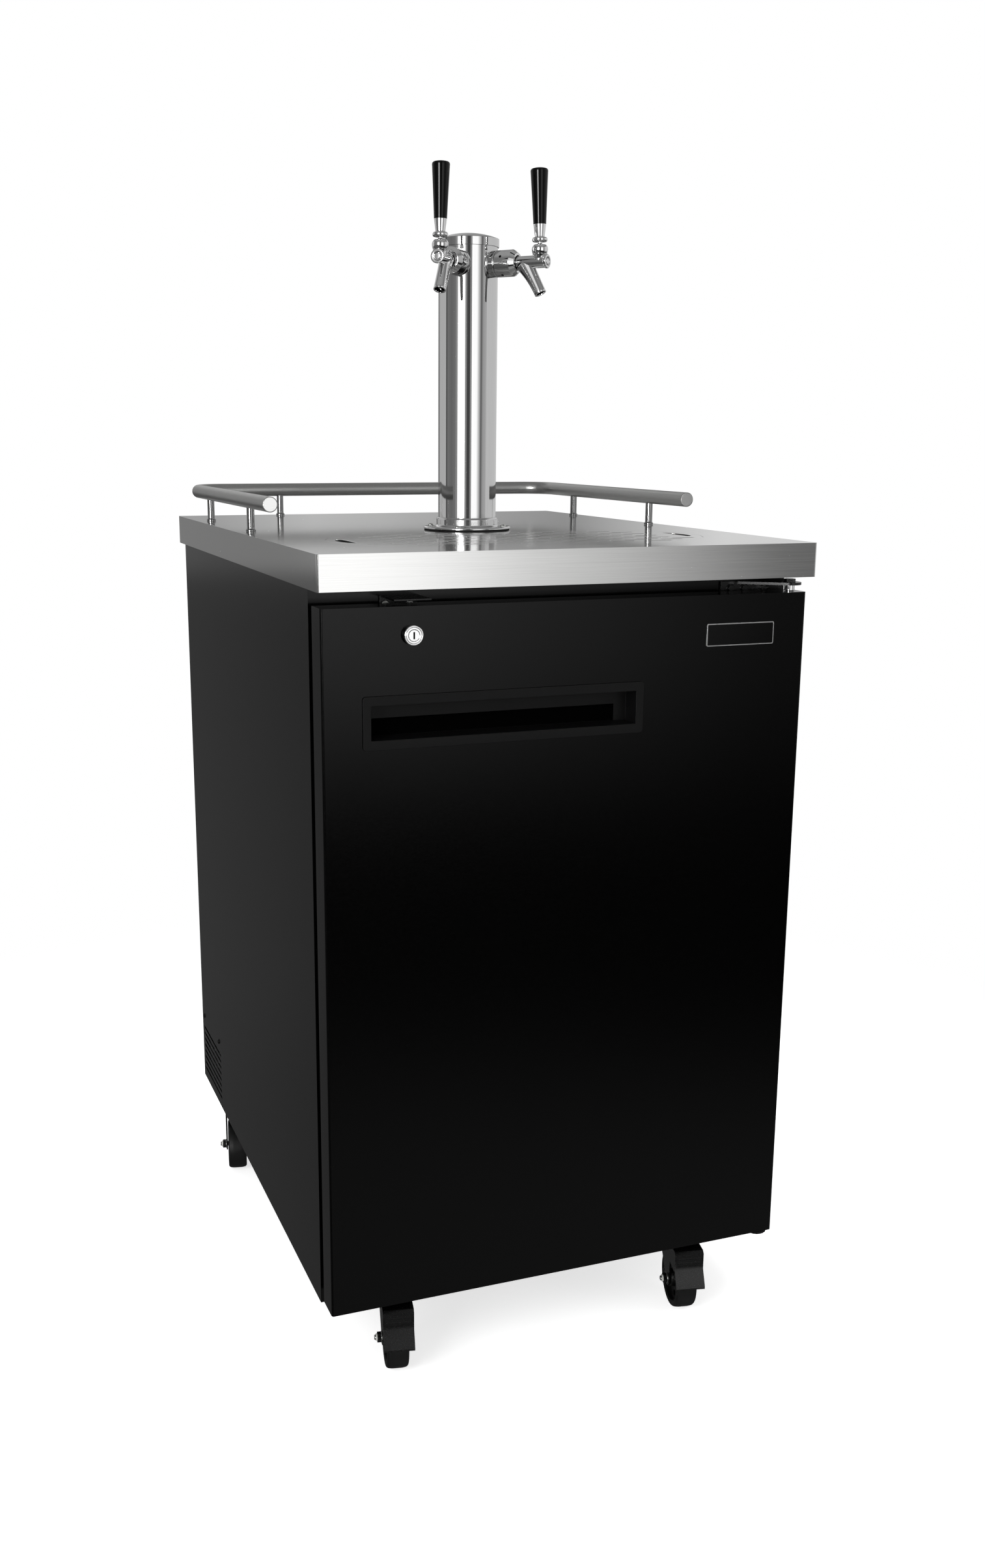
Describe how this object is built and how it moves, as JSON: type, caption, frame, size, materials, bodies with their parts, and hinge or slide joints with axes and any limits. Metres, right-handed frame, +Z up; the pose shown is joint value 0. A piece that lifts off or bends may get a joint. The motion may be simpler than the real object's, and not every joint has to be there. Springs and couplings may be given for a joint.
{
  "type": "keg cooler with two-tap tower",
  "caption": "Keg cooler on braked casters with a hinged, lockable door, steel worktop with drip tray and guard rail, and a tower with tilting taps.",
  "frame": {"origin": "on the floor under the middle of the worktop", "axes": "+X to the right facing the door, +Y to the back, +Z up"},
  "size_m": [0.61, 0.8, 1.4503],
  "materials": {
    "cabinet_black": null,
    "liner_white": "satin moulded plastic",
    "plastic_black": "satin moulded plastic",
    "compressor_black": "satin paint",
    "condenser_alu": "plain fins",
    "brushed": "fine brushed grain",
    "polished": "polished",
    "rubber_black": "matt",
    "chrome": "polished plating",
    "handle_black": "high gloss",
    "bracket_black": "satin black",
    "zinc": "zinc plated",
    "caster_black": "satin black",
    "tyre_black": "hard rubber"
  },
  "bodies": {
    "cabinet": {"cabinet_case": "cabinet_black", "rear_cover": "cabinet_black", "inner_liner": "liner_white", "evaporator_cover": "liner_white", "compressor": "compressor_black", "condenser": "condenser_alu", "worktop": "brushed", "drip_basin": "brushed", "guard_rail": "brushed", "tower_flange": "polished", "tower_column": "polished", "tower_cap": "polished", "post_front_left": "polished", "post_middle_left": "polished", "post_back_left": "polished", "post_back_right": "polished", "post_middle_right": "polished", "post_front_right": "polished", "tower_gasket": "rubber_black", "left_tap_coupling_nut": "chrome", "left_tap_body": "chrome", "left_tap_bonnet": "chrome", "left_tap_shank": "polished", "right_tap_coupling_nut": "chrome", "right_tap_body": "chrome", "right_tap_bonnet": "chrome", "right_tap_shank": "polished", "top_hinge": "bracket_black", "bottom_hinge": "bracket_black", "lock_strike": "zinc", "front_left_caster_plate": "caster_black", "front_right_caster_plate": "caster_black", "rear_left_caster_plate": "caster_black", "rear_right_caster_plate": "caster_black"},
    "evaporator_fan": {"evaporator_fan": "plastic_black"},
    "condenser_fan": {"condenser_fan": "plastic_black"},
    "drip_grid": {"drip_grid": "brushed"},
    "door": {"door_panel": "cabinet_black", "door_liner": "liner_white", "door_gasket": "rubber_black", "pull_pocket": "plastic_black", "lock_barrel": "chrome"},
    "lock_plug": {"lock_plug": "chrome"},
    "lock_bolt": {"lock_bolt": "polished"},
    "left_lever": {"left_tap_lever": "chrome", "left_tap_handle": "handle_black"},
    "right_lever": {"right_tap_lever": "chrome", "right_tap_handle": "handle_black"},
    "left_shaft": {"left_tap_shaft": "polished"},
    "right_shaft": {"right_tap_shaft": "polished"},
    "front_left_fork": {"front_left_fork": "caster_black"},
    "front_left_wheel": {"front_left_wheel": "tyre_black"},
    "front_right_fork": {"front_right_fork": "caster_black"},
    "front_right_wheel": {"front_right_wheel": "tyre_black"},
    "rear_left_fork": {"rear_left_fork": "caster_black"},
    "rear_left_wheel": {"rear_left_wheel": "tyre_black"},
    "rear_right_fork": {"rear_right_fork": "caster_black"},
    "rear_right_wheel": {"rear_right_wheel": "tyre_black"},
    "front_left_pedal": {"front_left_brake_pedal": "caster_black"},
    "front_right_pedal": {"front_right_brake_pedal": "caster_black"}
  },
  "joints": [
    {"name": "door_hinge", "type": "hinge", "parent": "cabinet", "child": "door", "pos_m": [0.287, -0.372, 0.53], "axis": [0, 0, 1], "range_deg": [0, 110]},
    {"name": "lock_turn", "type": "hinge", "parent": "door", "child": "lock_plug", "pos_m": [-0.1966, -0.38, 0.9183], "axis": [0, -1, 0], "range_deg": [0, 90]},
    {"name": "lock_bolt_slide", "type": "slide", "parent": "door", "child": "lock_bolt", "axis": [0, 0, 1], "range_m": [0, 0.01]},
    {"name": "grid_lift", "type": "slide", "parent": "cabinet", "child": "drip_grid", "axis": [0, 0, 1], "range_m": [0, 0.12]},
    {"name": "evaporator_fan_spin", "type": "hinge", "parent": "cabinet", "child": "evaporator_fan", "pos_m": [0, 0.3085, 0.8], "axis": [0, 1, 0], "continuous": true},
    {"name": "condenser_fan_spin", "type": "hinge", "parent": "cabinet", "child": "condenser_fan", "pos_m": [-0.24, 0.294, 0.1703], "axis": [1, 0, 0], "continuous": true},
    {"name": "left_tap_lever_tilt", "type": "hinge", "parent": "cabinet", "child": "left_lever", "pos_m": [-0.06589, -0.11342, 1.356], "axis": [0.766, -0.6428, 0], "range_deg": [0, 25]},
    {"name": "left_tap_shaft_slide", "type": "slide", "parent": "cabinet", "child": "left_shaft", "axis": [0.6428, 0.766, 0], "range_m": [0, 0.0068]},
    {"name": "right_tap_lever_tilt", "type": "hinge", "parent": "cabinet", "child": "right_lever", "pos_m": [0.06589, -0.11342, 1.356], "axis": [0.766, 0.6428, 0], "range_deg": [0, 25]},
    {"name": "right_tap_shaft_slide", "type": "slide", "parent": "cabinet", "child": "right_shaft", "axis": [-0.6428, 0.766, 0], "range_m": [0, 0.0068]},
    {"name": "front_left_caster_swivel", "type": "hinge", "parent": "cabinet", "child": "front_left_fork", "pos_m": [-0.199, -0.31, 0.09], "axis": [0, 0, 1], "continuous": true},
    {"name": "front_left_wheel_spin", "type": "hinge", "parent": "front_left_fork", "child": "front_left_wheel", "pos_m": [-0.20607, -0.34326, 0.038], "axis": [0.9781, -0.2079, 0], "continuous": true},
    {"name": "front_left_brake_press", "type": "hinge", "parent": "front_left_fork", "child": "front_left_pedal", "pos_m": [-0.20732, -0.34913, 0.084], "axis": [0.9781, -0.2079, 0], "range_deg": [0, 10]},
    {"name": "front_right_caster_swivel", "type": "hinge", "parent": "cabinet", "child": "front_right_fork", "pos_m": [0.199, -0.31, 0.09], "axis": [0, 0, 1], "continuous": true},
    {"name": "front_right_wheel_spin", "type": "hinge", "parent": "front_right_fork", "child": "front_right_wheel", "pos_m": [0.19193, -0.34326, 0.038], "axis": [0.9781, -0.2079, 0], "continuous": true},
    {"name": "front_right_brake_press", "type": "hinge", "parent": "front_right_fork", "child": "front_right_pedal", "pos_m": [0.19068, -0.34913, 0.084], "axis": [0.9781, -0.2079, 0], "range_deg": [0, 10]},
    {"name": "rear_left_caster_swivel", "type": "hinge", "parent": "cabinet", "child": "rear_left_fork", "pos_m": [-0.27, 0.279, 0.09], "axis": [0, 0, 1], "continuous": true},
    {"name": "rear_left_wheel_spin", "type": "hinge", "parent": "rear_left_fork", "child": "rear_left_wheel", "pos_m": [-0.27707, 0.24574, 0.038], "axis": [0.9781, -0.2079, 0], "continuous": true},
    {"name": "rear_right_caster_swivel", "type": "hinge", "parent": "cabinet", "child": "rear_right_fork", "pos_m": [0.27, 0.279, 0.09], "axis": [0, 0, 1], "continuous": true},
    {"name": "rear_right_wheel_spin", "type": "hinge", "parent": "rear_right_fork", "child": "rear_right_wheel", "pos_m": [0.26293, 0.24574, 0.038], "axis": [0.9781, -0.2079, 0], "continuous": true}
  ],
  "couplings": [
    {"joint": "lock_turn", "follows": "lock_bolt_slide", "rad_per_m": 157.08},
    {"joint": "left_tap_shaft_slide", "follows": "left_tap_lever_tilt", "m_per_rad": 0.0154},
    {"joint": "right_tap_shaft_slide", "follows": "right_tap_lever_tilt", "m_per_rad": 0.0154}
  ]
}
